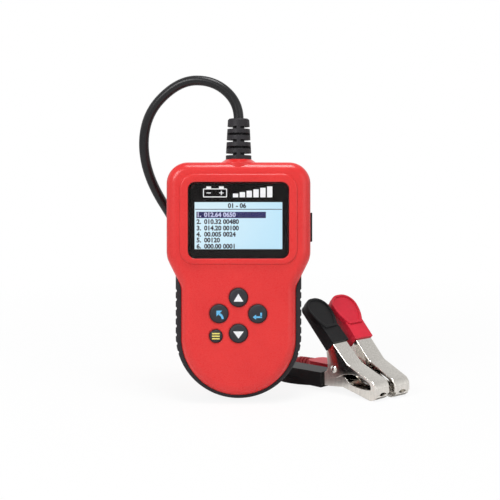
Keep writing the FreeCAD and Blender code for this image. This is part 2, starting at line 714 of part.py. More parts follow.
def upper_jaw(color, pose):
    name = color + "_upper_jaw"
    body = new_body(name, pose)
    top = along_handle(22.4)
    back = [top] + bend_in(top, UPPER_BEND, UPPER_NOSE, dims.jaw_bend, "left")
    back += bend_in(UPPER_BEND, UPPER_NOSE, NOSE_FOOT, dims.nose_round, "right") + [NOSE_FOOT]
    plan = back + [(43.4, -14.1), (39.4, -11.0, 5.0, "left"), (36.6, -4.3, 45.0, "left")]
    plan += [(21.0, -1.0, 40.0, "left"), (9.5, -3.2)]
    plan += [(7.0, -4.2, 8.2, "right"), (0, -6.6, 6.6, "right")]
    plan += [(-6.4, -1.6), (-6.6, 3.7), (-8.0, 13.7), along_handle(22.4, 9)]
    side = outline(new_sketch(body, name + "_side", "XZ_Plane"), plan)
    pad(body, side, dims.jaw_width, symmetric=True)

    def near_back(end):
        return any(math.dist((end.X, end.Z), spot[:2]) < 0.02 for spot in back)

    def on_back(edge):
        return edge.BoundBox.YLength < 0.01 and all(near_back(end) for end in edge.Vertexes)

    round_edges(body, name + "_edges", dims.jaw_edge, on_back)
    tang = [along_handle(20), along_handle(20, 5.8), along_handle(58, 5.8), along_handle(58)]
    tang_side = outline(new_sketch(body, name + "_tang", "XZ_Plane"), tang)
    pad(body, tang_side, dims.lower_jaw_width, symmetric=True)
    lift = dims.sheet.value
    under = [(UPPER_BEND[0] - 0.62, UPPER_BEND[1] - 1.03)]
    under += bend_in(under[0], (43.81, -5.76), (44.4, -24), dims.nose_round - dims.sheet, "right")
    under += [(44.4, -24), (-60, -24)]
    inner = [along_handle(70, lift)] + under
    hollow = outline(new_sketch(body, name + "_hollow", "XZ_Plane"), inner)
    pocket(body, hollow, dims.lower_jaw_width - dims.sheet * 2, symmetric=True)
    wide = [along_handle(19.4, lift)] + under + [along_handle(19.4, 80)]
    hollow = outline(new_sketch(body, name + "_cheeks", "XZ_Plane"), wide)
    pocket(body, hollow, dims.jaw_width - dims.sheet * 2, symmetric=True)
    hole = circles(new_sketch(body, name + "_pivot", "XZ_Plane"), [(0, 0)], dims.pivot_hole_radius)
    pocket(body, hole, 40, symmetric=True)
    pocket(body, nose_slit(body, name), 10, reverse=True)


def lower_jaw(color, pose):
    name = color + "_lower_jaw"
    body = new_body(name, pose)
    lift = dims.sheet.value
    floor = -dims.pivot_height.value
    tang_end, tang_start = (-54.0, -15.8 - 41 * low_tan), (-13.0, -15.8)
    plan = [tang_end, tang_start, (9, -13.4), (30, -17.9), (37, floor, 9.0, "left")]
    plan += [(44.8, -16.2), (45.4, -14.3), (43.4, -14.3), (42.4, -11.4), (38.0, -10.9, 40.0, "right")]
    plan += [(26.5, -11.3, 28.0, "right"), (17.6, -9.7, 26.0, "right"), (11.2, -5.2)]
    plan += [(7.6, -4.6, 8.5, "left"), (0, 6.4, 6.4, "left"), (-6.2, 1.6), (-9, -3)]
    plan += [(-12.6, -5.8), (-12.6, tang_start[1] + 6.6), (tang_end[0], tang_end[1] + 6.6)]
    side = outline(new_sketch(body, name + "_side", "XZ_Plane"), plan)
    pad(body, side, dims.lower_jaw_width, symmetric=True)
    inner = [(-60, tang_end[1] - 6 * low_tan + lift), (-13, tang_start[1] + lift), (9, -13.4 + lift)]
    inner += [(30, -17.9 + lift + 0.1), (37.2, floor + lift, 7.8, "left")]
    inner += [(43.8, -16.4), (44.1, 12), (-60, 12)]
    hollow = outline(new_sketch(body, name + "_hollow", "XZ_Plane"), inner)
    pocket(body, hollow, dims.lower_jaw_width - dims.sheet * 2, symmetric=True)
    hole = circles(new_sketch(body, name + "_pivot", "XZ_Plane"), [(0, 0)], dims.pivot_hole_radius)
    pocket(body, hole, 40, symmetric=True)
    pocket(body, nose_slit(body, name), 10, reverse=True)


def handle(name, pose, length, front_depth, tip_depth, cavity_depth):
    """Sleeve over a jaw's tang: x to the tip, z outwards, thumb pad on the outside."""
    body = new_body(name, pose)
    half = dims.handle_width / 2
    sleeve = outline(new_sketch(body, name + "_sleeve", lift=-1.0 - front_depth), [
        (0, -half), (length - 6, -half, 6.0, "left"), (length, 6.0 - half),
        (length, half - 6.0, 6.0, "left"), (length - 6, half), (0, half),
    ])
    pad(body, sleeve, front_depth + 1.0)
    slope = (front_depth - tip_depth) / length
    taper = outline(new_sketch(body, name + "_taper", "XZ_Plane"), [
        (-2, -front_depth - 2 * slope), (-2, -front_depth - 3), (length + 2, -front_depth - 3),
        (length + 2, -tip_depth + 2 * slope),
    ])
    pocket(body, taper, 40, symmetric=True)
    wide, narrow = dims.pad_width / 2, dims.pad_neck / 2
    foot, broad, spread = length / 3, length - 10.5, (wide - narrow).value
    swell, inner_swell = (
        ((broad - start) ** 2 + spread ** 2) / (2 * spread) for start in (foot, foot + 2.2)
    )
    thumb = outline(new_sketch(body, name + "_thumb", lift=-3.6), [
        (foot, -narrow, swell, "left"), (broad, -wide, 11.3, "left"), (length + 0.8, -1.4),
        (length + 0.8, 1.4, 11.3, "left"), (broad, wide, swell, "left"), (foot, narrow),
    ])
    pad(body, thumb, dims.pad_rise + 3.6)
    on_top = at_level("Z", dims.pad_rise.value)
    round_edges(body, name + "_rim", 0.7, lambda edge: on_top(edge) and edge.BoundBox.XMax > foot + 1)
    dish = outline(new_sketch(body, name + "_dish", lift=dims.pad_rise), [
        (foot + 2.2, 2.0 - narrow, inner_swell, "left"), (broad, 2.0 - wide, 9.1, "left"),
        (length - 1.4, -1.6), (length - 1.4, 1.6, 9.1, "left"), (broad, wide - 2.0, inner_swell, "left"),
        (foot + 2.2, narrow - 2.0),
    ])
    pocket(body, dish, 0.9)
    slack = dims.lower_jaw_width / 2 + 0.1
    cavity = new_sketch(body, name + "_cavity", "YZ_Plane")
    plain_box(cavity, -slack, -1.5 - cavity_depth, slack, -1.5)
    pocket(body, cavity, length - 6, reverse=True)


def boot(name, pose):
    body = new_body(name, pose)
    half = [(dims.boot_length, 0), (dims.boot_length, 3.9), (14.2, 4.1), (14.2, 3.4), (13, 3.5)]
    half += [(13, 4.3), (10, 4.5), (10, 3.6), (8.5, 3.7), (8.5, 4.6), (5.5, 4.8), (5.5, 3.8)]
    half += [(4, 3.9), (4, 5.0), (0, 5.2), (0, 0)]
    section = outline(new_sketch(body, name + "_half", "XZ_Plane"), half)
    revolve(body, "Revolution", section, axis="H_Axis")


def rivet(name, pose):
    body = new_body(name, pose)
    reach = dims.jaw_width / 2 + 0.05
    head = dims.pivot_radius + 1.1
    half = [(0, -1.4 - reach), (1.6, -1.3 - reach), (head, -0.4 - reach), (head, -reach)]
    half += [(dims.pivot_radius, -reach), (dims.pivot_radius, reach)]
    half += [(head, reach), (head, reach + 0.4), (1.6, reach + 1.3), (0, reach + 1.4)]
    revolve(body, "Revolution", outline(new_sketch(body, name + "_half"), half))


def biarc(start, start_way, end, end_way):
    """Two arcs that leave one point and reach another along given directions."""
    step = end - start
    ways = start_way + end_way
    spread = 2 * (1 - start_way.dot(end_way))
    lever = (-step.dot(ways) + math.sqrt(step.dot(ways) ** 2 + spread * step.dot(step))) / spread
    first, second = start + start_way * lever, end - end_way * lever
    meet = (first + second) / 2
    arcs = []
    for head, corner, tail in ((start, first, meet), (meet, second, end)):
        middle = (head + tail) / 2
        rise = corner - middle
        half_chord = (tail - head).Length / 2
        sag = half_chord * math.tan(math.atan2(rise.Length, half_chord) / 2)
        arcs.append(Part.Arc(head, middle + rise.normalize() * sag, tail).toShape())
    return arcs


def spring(name, pose):
    """Torsion spring round the pivot, with a leg along each tang."""
    radius, pitch = dims.spring_radius.value, dims.spring_pitch.value
    wire_radius = dims.spring_wire.value / 2
    leg = dims.spring_leg.value
    start_angle = math.radians(-62.2)
    total = math.radians(22.0) - start_angle + 4 * 2 * math.pi

    def at(angle):
        lift = pitch * (angle - total / 2) / (2 * math.pi)
        turned = start_angle + angle
        way = Vector(-radius * math.sin(turned), pitch / (2 * math.pi), radius * math.cos(turned))
        return Vector(radius * math.cos(turned), lift, radius * math.sin(turned)), way.normalize()

    steps = 36
    marks = [at(total * index / steps) for index in range(steps + 1)]
    edges = []
    for (point, way), (after, after_way) in zip(marks, marks[1:]):
        edges += biarc(point, way, after, after_way)
    lead_in = marks[0][0] - marks[0][1] * leg
    lead_out = marks[-1][0] + marks[-1][1] * leg
    path = [Part.LineSegment(lead_in, marks[0][0]).toShape()] + edges
    path += [Part.LineSegment(marks[-1][0], lead_out).toShape()]
    wire = Part.Wire(path)
    section = Part.Wire(Part.makeCircle(wire_radius, lead_in, marks[0][1]))
    solid = wire.makePipeShell([section], True, False)
    ratio = solid.Volume / (math.pi * wire_radius ** 2 * wire.Length)
    points = [at(total * index / 300)[0] for index in range(301)]
    apart = [(far - near).Length for index, near in enumerate(points) for far in points[index + 40:]]
    gap = min(apart) - 2 * wire_radius
    print(f"{name}: length {wire.Length:.1f}, least gap {gap:.2f}, volume ratio {ratio:.4f}")
    freeform(name, solid, pose)


UPPER_LENGTH, LOWER_LENGTH = 43.5, 49.0
LEAD_ENDS = {}
for color, pose in CLAMPS.items():
    upper_jaw(color, pose)
    lower_jaw(color, pose)
    back = Vector(up_sin, 0, up_cos)
    place = along_handle(22.6)
    frame_turn = Rotation(Vector(-up_cos, 0, up_sin), Vector(0, -1, 0), back, "XZY")
    origin = Vector(place[0], 0, place[1]) + back * 1.6
    upper_pose = pose.multiply(Placement(origin, frame_turn))
    handle(color + "_upper_handle", upper_pose, UPPER_LENGTH, 11.0, 8.5, 6.0)
    slope = math.radians(dims.lower_slope.value)
    down = Vector(math.sin(slope), 0, -math.cos(slope))
    rearward = Vector(-math.cos(slope), 0, -math.sin(slope))
    low_turn = Rotation(rearward, Vector(0, 1, 0), down, "XZY")
    low_origin = Vector(-13, 0, -17.4)
    lower_pose = pose.multiply(Placement(low_origin, low_turn))
    handle(color + "_lower_handle", lower_pose, LOWER_LENGTH, 12.6, 11.4, 7.2)
    boot_foot = low_origin + rearward * (LOWER_LENGTH + 0.85) - down * 6.2
    boot(color + "_boot", pose.multiply(Placement(boot_foot, low_turn)))
    rivet(color + "_rivet", pose)
    spring(color + "_spring", pose)
    boot_end = boot_foot + rearward * dims.boot_length.value
    LEAD_ENDS[color] = (pose.multVec(boot_end), pose.Rotation.multVec(rearward))

# Y-shaped splitter lying on the floor
SPLIT_FOOT = Vector(13.9, 147, 5.5)
SPLIT_WAY = Vector(0.3285, 0.9445, 0).normalize()
SPLIT_LENGTH = 30.0
split_turn = Rotation(SPLIT_WAY, Vector(-SPLIT_WAY.y, SPLIT_WAY.x, 0), Vector(0, 0, 1), "XZY")
splitter = new_body("cable_splitter", Placement(SPLIT_FOOT, split_turn))
fork = outline(new_sketch(splitter, "fork_plan", lift=-5.5), [
    (0, -5.6), (8, -5.8), (22, -9), (SPLIT_LENGTH, -9), (SPLIT_LENGTH, 9), (22, 9), (8, 5.8), (0, 5.6),
])
pad(splitter, fork, 11)
fork_faces = [at_level("Z", 5.5), at_level("Z", -5.5)]
round_edges(splitter, "fork_edge", 2.5, lambda edge: any(test(edge) for test in fork_faces))

# Main cable and the two leads
CABLE = [
    on_tester(0, dims.relief_top.value, 0), on_tester(0, 236, 0), on_tester(-20.1, 254, -2),
    on_tester(-48.8, 254, -7), on_tester(-77.1, 225.5, -15), on_tester(-77.1, 180.6, -25),
    on_tester(-46.4, 131.4, -42),
    (-27, 71, 70), (-6, 98, 32), (8, 130, 5.5), tuple(SPLIT_FOOT),
]
freeform("main_cable", cord_solid("main_cable", CABLE, dims.cable_radius.value))
fork_end = SPLIT_FOOT + SPLIT_WAY * SPLIT_LENGTH
fork_side = Vector(-SPLIT_WAY.y, SPLIT_WAY.x, 0)
low = dims.lead_radius.value
LOOPS = {
    "red": (4.5, [(24, 189.6), (10, 210), (-20, 210), (-36, 184), (-30, 148), (-12, 118)], 36),
    "black": (-4.5, [(33.5, 189.7), (16, 218), (-25, 218), (-46, 186), (-38, 144)], 45),
}
for color, (shift, loop, last_run) in LOOPS.items():
    end, way = LEAD_ENDS[color]
    flat = Vector(way.x, way.y, 0).normalize()
    turn_in = end + flat * last_run
    route = [tuple(fork_end + fork_side * shift)] + [(x, y, low + 0.1) for x, y in loop]
    route += [(turn_in.x, turn_in.y, low + 0.2), tuple(end + way * 14), tuple(end)]
    freeform(color + "_lead", cord_solid(color + "_lead", route, dims.lead_radius.value))

# Wires from the cable to the terminals
wires = []
for index, spread in enumerate((-10.5, -3.5, 3.5, 10.5)):
    x = (index - 1.5) * 3.4
    top = dims.collar_low.value - 3.5
    route = [(x, top, 0), (x, top - 7, 0), (spread, 162, -1), (spread, 155, -1)]
    wire, _ = cord_wire(route)
    section = Part.Wire(Part.makeCircle(dims.wire_radius.value, Vector(*route[0]), Vector(0, -1, 0)))
    wires.append(wire.makePipeShell([section], True, False))
freeform("inner_wires", Part.Compound(wires), TESTER)

# Test and write
doc.recompute()
for thing in doc.Objects:
    if any(word in thing.State for word in ("Invalid", "Error")):
        raise RuntimeError(f"{thing.Name}: {thing.State}")
os.makedirs("parts", exist_ok=True)
for piece in pieces:
    shape = piece.Shape
    if shape.isNull() or not shape.isValid() or not shape.Solids:
        raise RuntimeError(f"{piece.Label}: no sound solid")
    shape.exportStep(f"parts/{piece.Label}.step")
    print(f"{piece.Label}: {len(shape.Solids)} solid, {shape.Volume:.1f} mm3")
print(len(pieces), "pieces")
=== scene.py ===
"""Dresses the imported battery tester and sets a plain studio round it."""
import math

import bmesh
import bpy
from bpy.props import FloatProperty, FloatVectorProperty, PointerProperty
from mathutils import Matrix, Vector


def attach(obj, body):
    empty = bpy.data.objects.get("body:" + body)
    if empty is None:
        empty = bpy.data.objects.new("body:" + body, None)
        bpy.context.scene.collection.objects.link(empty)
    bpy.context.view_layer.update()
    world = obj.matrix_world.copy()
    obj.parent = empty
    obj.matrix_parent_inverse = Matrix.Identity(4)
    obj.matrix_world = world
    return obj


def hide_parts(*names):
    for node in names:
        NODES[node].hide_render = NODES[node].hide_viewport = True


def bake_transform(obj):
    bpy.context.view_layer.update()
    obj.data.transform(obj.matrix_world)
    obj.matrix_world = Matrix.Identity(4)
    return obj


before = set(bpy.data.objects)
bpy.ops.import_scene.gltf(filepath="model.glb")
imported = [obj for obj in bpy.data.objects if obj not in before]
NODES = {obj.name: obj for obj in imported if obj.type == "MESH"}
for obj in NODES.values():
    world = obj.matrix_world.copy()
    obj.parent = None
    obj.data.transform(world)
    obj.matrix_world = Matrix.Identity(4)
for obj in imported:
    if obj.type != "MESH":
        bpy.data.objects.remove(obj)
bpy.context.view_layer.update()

bl_info = {
    "name": "Battery Tester",
    "version": (1, 0, 0),
    "blender": (4, 5, 0),
    "location": "View3D > Sidebar > Battery Tester",
    "description": "Finishes, printed marks, cords and studio for a handheld battery tester",
    "category": "Object",
}

MM = 0.001

# Where the tester and its two clamps stand: the tester's own x runs across its face, y up it, z out of it
TESTER = Matrix.Translation((0, -18.4 * MM, 1.877 * MM)) @ Matrix.Rotation(math.radians(80), 4, "X")
PIVOT_HEIGHT = 19.5 * MM
CLAMPS = {
    side: Matrix.Translation((x * MM, y * MM, PIVOT_HEIGHT)) @ Matrix.Rotation(math.radians(turn), 4, "Z")
    for side, x, y, turn in (("black", 82.8, 9.6, -45), ("red", 102.9, 23.6, -51))
}

# Routes of the cords, in millimetres
CABLE_ROUTE = (
    (0, 20.271, 221.194), (0, 22.581, 234.292), (-20.1, 27.676, 251.671), (-48.8, 32.6, 250.803),
    (-77.1, 35.53, 221.347), (-77.1, 37.581, 175.392), (-46.4, 45.779, 123.988), (-27, 71, 70),
    (-6, 98, 32), (8, 130, 5.5), (13.9, 147, 5.5),
)
LEAD_ROUTES = {
    "red": (
        (19.505, 176.813, 5.5), (24, 189.6, 2.9), (10, 210, 2.9), (-20, 210, 2.9), (-36, 184, 2.9),
        (-30, 148, 2.9), (-12, 118, 2.9), (29.932, 113.709, 3.0), (43.778, 96.61, 6.888),
        (52.587, 85.731, 7.132),
    ),
    "black": (
        (28.005, 173.857, 5.5), (33.5, 189.7, 2.9), (16, 218, 2.9), (-25, 218, 2.9), (-46, 186, 2.9),
        (-38, 144, 2.9), (-5.552, 97.952, 3.0), (16.37, 76.03, 6.888), (26.268, 66.132, 7.132),
    ),
}

# A clamp's spring: the angles of its ends about the pivot and its whole turns
SPRING_START, SPRING_END, SPRING_TURNS = -62.2, 22.0, 4

# Centres of the keys on the tester's face, in millimetres
KEY_PLACES = {
    "up_key": (0, 80.1), "back_key": (-15.35, 67.3), "enter_key": (15.2, 67.2),
    "down_key": (0, 51.7), "function_key": (-17.8, 49.6),
}
KEY_MARK_LOW, KEY_MARK_HIGH = 17.27 * MM, 17.53 * MM

# Heights of the window and the display above the tester's own plane, and the display's lit corners
LENS_FACE = 16.7 * MM
DISPLAY_FACE = 13.1 * MM
DISPLAY_GLOW = 0.95
DISPLAY_CORNERS = ((-34, 152), (34, 118))

# Point of the tester's face in the middle of the picture, in millimetres, and the camera's sensor
PICTURE_MIDDLE = (9.12, 117.76)
SENSOR_WIDTH = 36

# What the lamps are turned to, and the middle of the floor's shadow, in metres
LIT_MIDDLE = Vector((0.02, 0.02, 0.1))
FLOOR_MIDDLE = (0.04, 0.06, 0)

# Shading of the CAD nodes: points nearer than this are one, and edges that turn more than this are sharp
MERGE_DISTANCE = 0.000002
SHARP_TURN = math.radians(28)

# Colour of dust on what faces up
DUST = (0.55, 0.54, 0.52)


def shade(red, green, blue):
    """Linear colour of a display colour given from 0 to 255."""
    parts = (value / 255 for value in (red, green, blue))
    return tuple(part / 12.92 if part <= 0.04045 else ((part + 0.055) / 1.055) ** 2.4 for part in parts)


def darker(colour, share):
    return tuple(part * share for part in colour)


def metres(place):
    return tuple(value * MM for value in place)


def colour_property(name, description, *display):
    return FloatVectorProperty(
        name=name, description=description, default=shade(*display), subtype="COLOR", size=3, min=0, max=1
    )


def length_property(name, description, millimetres):
    return FloatProperty(name=name, description=description, default=millimetres * MM, unit="LENGTH", min=0)


class TesterColours(bpy.types.PropertyGroup):
    """Colours of the finishes"""
    housing: colour_property("Housing", "Moulded red housing", 228, 46, 44)
    housing_deep: colour_property("Housing, deep", "Darker clouds in the red housing", 219, 38, 38)
    rubber: colour_property("Bumper", "Rubber bumper and port cover", 44, 42, 46)
    rubber_deep: colour_property("Bumper, deep", "Darker clouds in the rubber", 33, 31, 34)
    key: colour_property("Keys", "Rubber keys", 50, 51, 56)
    cable: colour_property("Cable", "Black cable sheath", 22, 22, 24)
    red_lead: colour_property("Red lead", "Red lead and its boot", 176, 20, 32)
    black_grip: colour_property("Black handle", "Black clamp handles", 24, 24, 26)
    red_grip: colour_property("Red handle", "Red clamp handles", 222, 34, 58)
    steel: colour_property("Plated steel", "Jaws and rivets", 231, 227, 220)
    border: colour_property("Window border", "Black print behind the window", 17, 11, 12)
    display_light: colour_property("Display, light", "Lit display at its upper left", 214, 239, 249)
    display_dim: colour_property("Display, dim", "Lit display at its lower right", 190, 231, 250)
    ink: colour_property("Display ink", "Numbers on the display", 16, 18, 44)
    chosen: colour_property("Chosen line", "Bar behind the chosen line", 16, 12, 92)
    chosen_ink: colour_property("Chosen line, ink", "Numbers on the chosen line", 200, 202, 236)
    white_mark: colour_property("White marks", "White print", 245, 246, 248)
    blue_mark: colour_property("Blue marks", "Light blue print on two keys", 104, 190, 238)
    yellow_mark: colour_property("Yellow mark", "Yellow print on the small key", 246, 232, 120)


class TesterSizes(bpy.types.PropertyGroup):
    """Sizes of the pieces made here"""
    cable: length_property("Cable", "Diameter of the main cable", 8.0)
    lead: length_property("Leads", "Diameter of the clamp leads", 5.6)
    ink: length_property("Ink", "Thickness of a printed mark", 0.03)
    digit: length_property("Digits", "Type size on the display", 5.0)
    spring_wire: length_property("Spring wire", "Wire of a clamp's spring", 1.2)
    spring_radius: length_property("Spring radius", "Mean radius of a clamp's spring", 5.0)
    spring_pitch: length_property("Spring pitch", "Distance between the turns", 1.7)
    spring_leg: length_property("Spring leg", "Straight leg at each end", 20.0)


class StudioSettings(bpy.types.PropertyGroup):
    """Camera and light"""
    distance: FloatProperty(name="Distance", description="Camera to object", default=1.3, unit="LENGTH")
    elevation: FloatProperty(
        name="Elevation", description="Camera above level", default=math.radians(9.5), subtype="ANGLE"
    )
    across: FloatProperty(
        name="Across", description="Width that the picture takes in", default=0.4, unit="LENGTH"
    )
    ambient: FloatProperty(
        name="Ambient", description="Strength of the surrounding light", default=0.4, min=0
    )
    lamps: FloatProperty(name="Lamps", description="Power of the lamps", default=1.0, min=0)


# Node trees

def add(tree, kind, values=None, **settings):
    """New node with its settings and the values of its inputs."""
    node = tree.nodes.new(kind)
    for name, value in settings.items():
        setattr(node, name, value)
    for name, value in (values or {}).items():
        node.inputs[name].default_value = value
    return node


def link(tree, *pairs):
    for source, target in pairs:
        tree.links.new(source, target)


def effect(name, inputs, outputs):
    """Empty shader node group with its sockets, and its two end nodes."""
    tree = bpy.data.node_groups.new(name, "ShaderNodeTree")
    for label, default in inputs:
        socket = tree.interface.new_socket(label, in_out="INPUT", socket_type="NodeSocketFloat")
        socket.default_value = default
    for label, kind in outputs:
        tree.interface.new_socket(label, in_out="OUTPUT", socket_type=kind)
    return tree, tree.nodes.new("NodeGroupInput"), tree.nodes.new("NodeGroupOutput")


def moulded_grain():
    """Fine spark grain of a mould and broad clouds of colour."""
    tree, given, made = effect(
        "moulded_grain", [("Grain", 2200), ("Clouds", 60)],
        [("Grain", "NodeSocketFloat"), ("Clouds", "NodeSocketFloat")],
    )
    place = add(tree, "ShaderNodeTexCoord").outputs["Object"]
    fine = add(tree, "ShaderNodeTexNoise", {"Detail": 2.0, "Roughness": 0.6})
    broad = add(tree, "ShaderNodeTexNoise", {"Detail": 4.0, "Roughness": 0.62})
    spread = add(tree, "ShaderNodeMapRange", {"From Min": 0.3, "From Max": 0.7})
    link(
        tree, (place, fine.inputs["Vector"]), (place, broad.inputs["Vector"]),
        (given.outputs["Grain"], fine.inputs["Scale"]), (given.outputs["Clouds"], broad.inputs["Scale"]),
        (fine.outputs["Fac"], made.inputs["Grain"]), (broad.outputs["Fac"], spread.inputs["Value"]),
        (spread.outputs["Result"], made.inputs["Clouds"]),
    )
    return tree


def soft_edges():
    """Normal rounded over at sharp edges, and a mask of those edges."""
    tree, given, made = effect(
        "soft_edges", [("Radius", 0.0004)], [("Normal", "NodeSocketVector"), ("Edge", "NodeSocketFloat")]
    )
    rounded = add(tree, "ShaderNodeBevel", samples=4)
    plain = add(tree, "ShaderNodeNewGeometry").outputs["Normal"]
    agree = add(tree, "ShaderNodeVectorMath", operation="DOT_PRODUCT")
    mask = add(tree, "ShaderNodeMapRange", {"From Min": 0.998, "From Max": 0.86})
    link(
        tree, (given.outputs["Radius"], rounded.inputs["Radius"]),
        (rounded.outputs["Normal"], agree.inputs[0]), (plain, agree.inputs[1]),
        (agree.outputs["Value"], mask.inputs["Value"]),
        (rounded.outputs["Normal"], made.inputs["Normal"]), (mask.outputs["Result"], made.inputs["Edge"]),
    )
    return tree


def dust_film():
    """Thin uneven dust on what faces up."""
    tree, given, made = effect("dust_film", [("Cover", 0.2)], [("Dust", "NodeSocketFloat")])
    place = add(tree, "ShaderNodeTexCoord").outputs["Object"]
    upward = add(tree, "ShaderNodeSeparateXYZ")
    slope = add(tree, "ShaderNodeMapRange", {"From Min": -0.2, "From Max": 1.0})
    specks = add(tree, "ShaderNodeTexNoise", {"Scale": 420.0, "Detail": 5.0, "Roughness": 0.7})
    uneven = add(tree, "ShaderNodeMapRange", {"From Min": 0.35, "From Max": 0.75})
    both = add(tree, "ShaderNodeMath", operation="MULTIPLY")
    amount = add(tree, "ShaderNodeMath", operation="MULTIPLY")
    link(
        tree, (add(tree, "ShaderNodeNewGeometry").outputs["Normal"], upward.inputs[0]),
        (upward.outputs["Z"], slope.inputs["Value"]), (place, specks.inputs["Vector"]),
        (specks.outputs["Fac"], uneven.inputs["Value"]), (slope.outputs["Result"], both.inputs[0]),
        (uneven.outputs["Result"], both.inputs[1]), (both.outputs["Value"], amount.inputs[0]),
        (given.outputs["Cover"], amount.inputs[1]), (amount.outputs["Value"], made.inputs["Dust"]),
    )
    return tree


def plated_surface():
    """Slow waves of pressed sheet metal and fine rubbed scratches."""
    tree, given, made = effect(
        "plated_surface", [("Waves", 90), ("Scratches", 900)],
        [("Height", "NodeSocketFloat"), ("Rub", "NodeSocketFloat")],
    )
    place = add(tree, "ShaderNodeTexCoord").outputs["Object"]
    stretch = add(tree, "ShaderNodeMapping", {"Scale": (1.0, 1.0, 0.08), "Rotation": (0.5, 0.3, 0.8)})
    waves = add(tree, "ShaderNodeTexNoise", {"Detail": 1.0})
    lines = add(tree, "ShaderNodeTexNoise", {"Detail": 3.0, "Roughness": 0.65})
    rub = add(tree, "ShaderNodeMapRange", {"From Min": 0.35, "From Max": 0.7})
    thin = add(tree, "ShaderNodeMath", {1: 0.12}, operation="MULTIPLY")
    total = add(tree, "ShaderNodeMath", operation="ADD")
    link(
        tree, (place, stretch.inputs["Vector"]), (place, waves.inputs["Vector"]),
        (stretch.outputs["Vector"], lines.inputs["Vector"]),
        (given.outputs["Waves"], waves.inputs["Scale"]), (given.outputs["Scratches"], lines.inputs["Scale"]),
        (lines.outputs["Fac"], rub.inputs["Value"]), (lines.outputs["Fac"], thin.inputs[0]),
        (waves.outputs["Fac"], total.inputs[0]), (thin.outputs["Value"], total.inputs[1]),
        (total.outputs["Value"], made.inputs["Height"]), (rub.outputs["Result"], made.inputs["Rub"]),
    )
    return tree


EFFECTS = {}


def use(tree, maker, **values):
    """Shared effect placed in a material with its own values."""
    if maker not in EFFECTS:
        EFFECTS[maker] = maker()
    node = add(tree, "ShaderNodeGroup", node_tree=EFFECTS[maker])
    for name, value in values.items():
        node.inputs[name].default_value = value
    return node


def new_material(name, **sockets):
    """Material with the values of its shader's own sockets."""
    material = bpy.data.materials.new(name)
    material.use_nodes = True
    shader = material.node_tree.nodes["Principled BSDF"]
    for socket, value in sockets.items():
        shader.inputs[socket.replace("_", " ")].default_value = value
    return material, material.node_tree, shader


def opaque(colour):
    return (*colour, 1.0)


def blended(tree, mask, first, second):
    """Colour that runs from one to another by a mask."""
    mix = add(tree, "ShaderNodeMix", data_type="RGBA")
    for socket, value in ((mix.inputs[6], first), (mix.inputs[7], second)):
        if isinstance(value, bpy.types.NodeSocket):
            tree.links.new(value, socket)
        else:
            socket.default_value = opaque(value)
    tree.links.new(mask, mix.inputs[0])
    return mix.outputs[2]


def ranged(tree, source, low, high):
    """Value of 0 to 1 brought to another range."""
    span = add(tree, "ShaderNodeMapRange", {"To Min": low, "To Max": high})
    tree.links.new(source, span.inputs["Value"])
    return span.outputs["Result"]


def moulded(name, colour, deep, rough, grain=2200, relief=0.12, clouds=60, edge=0.4, wear_and_highlight=0.0,
            worn_and_highlit=(0.5, 0.5, 0.5), dust=0.0, **sockets):
    """Moulded plastic or rubber: clouds of colour, spark grain, rounded edges, edges lightened partly as
    wear and partly as a painted highlight, dust.
    """
    material, tree, shader = new_material(name, **sockets)
    surface = use(tree, moulded_grain, Grain=grain, Clouds=clouds)
    edges = use(tree, soft_edges, Radius=edge * MM)
    paint = blended(tree, surface.outputs["Clouds"], colour, deep)
    # Sharp edges lightened toward a paler colour: partly wear, partly a painted highlight
    if wear_and_highlight:
        rubbed_and_highlit = add(tree, "ShaderNodeMath", operation="MULTIPLY")
        link(
            tree, (edges.outputs["Edge"], rubbed_and_highlit.inputs[0]),
            (ranged(tree, surface.outputs["Clouds"], 0.2 * wear_and_highlight, wear_and_highlight), rubbed_and_highlit.inputs[1]),
        )
        paint = blended(tree, rubbed_and_highlit.outputs["Value"], paint, worn_and_highlit)
    if dust:
        film = use(tree, dust_film, Cover=dust)
        paint = blended(tree, film.outputs["Dust"], paint, DUST)
    bump = add(tree, "ShaderNodeBump", {"Strength": relief, "Distance": 0.00012})
    link(
        tree, (paint, shader.inputs["Base Color"]),
        (ranged(tree, surface.outputs["Grain"], *rough), shader.inputs["Roughness"]),
        (surface.outputs["Grain"], bump.inputs["Height"]), (edges.outputs["Normal"], bump.inputs["Normal"]),
        (bump.outputs["Normal"], shader.inputs["Normal"]),
    )
    return material


def plated(name, colour, deep, rough, waves=90, relief=0.1, edge=0.3):
    """Bright plated or bare metal with slow waves and rubbed scratches."""
    material, tree, shader = new_material(name, Metallic=1.0)
    surface = use(tree, plated_surface, Waves=waves)
    edges = use(tree, soft_edges, Radius=edge * MM)
    bump = add(tree, "ShaderNodeBump", {"Strength": relief, "Distance": 0.0006})
    link(
        tree, (blended(tree, surface.outputs["Rub"], colour, deep), shader.inputs["Base Color"]),
        (ranged(tree, surface.outputs["Rub"], *rough), shader.inputs["Roughness"]),
        (surface.outputs["Height"], bump.inputs["Height"]), (edges.outputs["Normal"], bump.inputs["Normal"]),
        (bump.outputs["Normal"], shader.inputs["Normal"]),
    )
    return material


def printed(name, colour, rough=0.5):
    """Opaque ink with a slightly uneven film."""
    material, tree, shader = new_material(name)
    surface = use(tree, moulded_grain, Grain=5200, Clouds=700)
    link(
        tree,
        (blended(tree, surface.outputs["Clouds"], colour, darker(colour, 0.9)), shader.inputs["Base Color"]),
        (ranged(tree, surface.outputs["Grain"], rough - 0.08, rough + 0.08), shader.inputs["Roughness"]),
    )
    return material


